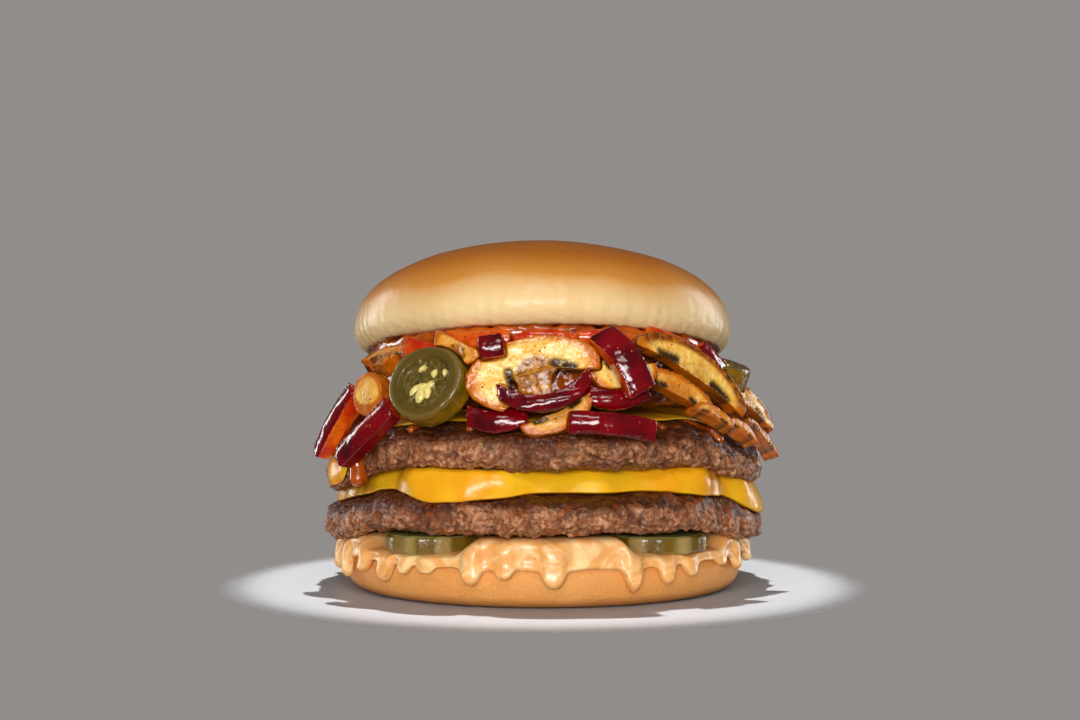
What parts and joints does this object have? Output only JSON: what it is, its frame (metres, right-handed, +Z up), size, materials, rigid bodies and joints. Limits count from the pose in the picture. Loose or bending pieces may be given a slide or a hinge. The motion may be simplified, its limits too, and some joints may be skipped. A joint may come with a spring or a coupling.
{
  "type": "chili cheeseburger",
  "caption": "Chili cheeseburger: soft bun, beef patties, melted cheese, pickles, dripping sauce and a glazed topping of mushroom, pepper and jalapeno. Prepared food.",
  "frame": {"origin": "centre of the heel's flat bottom, where the burger rests", "axes": "+Z up through the layers; -Y is the front, where the topping bulges out from under the crown; X runs across the front"},
  "size_m": [0.1219, 0.1214, 0.0916],
  "materials": {
    "bun": "soft baked bread crust, fine crumb, dull",
    "crown": "glossy golden brown bread crust, pale at the rim",
    "meat": "seared ground beef, craggy, greasy",
    "cheese": "melted yellow-orange cheese, glossy",
    "sauce": "thick peach-orange burger sauce, glossy",
    "pickle": "wet pickled cucumber",
    "jalapeno": "cooked olive-green chilli slice, wet",
    "pepper": "fried red pepper strip, glossy skin",
    "mushroom": "fried mushroom slice in an orange glaze",
    "glaze": "thick dark chilli glaze between the pieces"
  },
  "bodies": {
    "root": {"bun_crown": "crown", "bun_heel": "bun", "burger_sauce": "sauce", "cheese_lower": "cheese", "cheese_upper": "cheese", "glaze_core": "glaze", "jalapeno_front": "jalapeno", "jalapeno_lower_157": "jalapeno", "jalapeno_right": "jalapeno", "jalapeno_upper_188": "jalapeno", "mushroom_behind_pepper": "mushroom", "mushroom_button_left": "mushroom", "mushroom_crumb_right": "mushroom", "mushroom_front": "mushroom", "mushroom_glazed_lip": "mushroom", "mushroom_long_right": "mushroom", "mushroom_lower_120": "mushroom", "mushroom_lower_177": "mushroom", "mushroom_lower_214": "mushroom", "mushroom_lower_250": "mushroom", "mushroom_lower_84": "mushroom", "mushroom_second_right": "mushroom", "mushroom_side_right": "mushroom", "mushroom_small_right": "mushroom", "mushroom_stem_left": "mushroom", "mushroom_tip_right": "mushroom", "mushroom_under_crown": "mushroom", "mushroom_upper_114": "mushroom", "mushroom_upper_232": "mushroom", "mushroom_upper_276": "mushroom", "patty_lower": "meat", "patty_upper": "meat", "pepper_dark_loop": "pepper", "pepper_front_curve": "pepper", "pepper_front_slope": "pepper", "pepper_left_inner": "pepper", "pepper_left_outer": "pepper", "pepper_left_under_crown": "pepper", "pepper_lower_102": "pepper", "pepper_lower_139": "pepper", "pepper_lower_196": "pepper", "pepper_lower_232": "pepper", "pepper_lower_270": "pepper", "pepper_on_patty": "pepper", "pepper_right_flesh": "pepper", "pepper_right_skin": "pepper", "pepper_small_end": "pepper", "pepper_top_left": "pepper", "pepper_top_middle": "pepper", "pepper_top_right": "pepper", "pepper_under_mushroom": "pepper", "pepper_upper_134": "pepper", "pepper_upper_210": "pepper", "pepper_upper_256": "pepper", "pepper_upper_94": "pepper", "pickle_back_left": "pickle", "pickle_back_right": "pickle", "pickle_front_left": "pickle", "pickle_front_right": "pickle"}
  },
  "joints": []
}
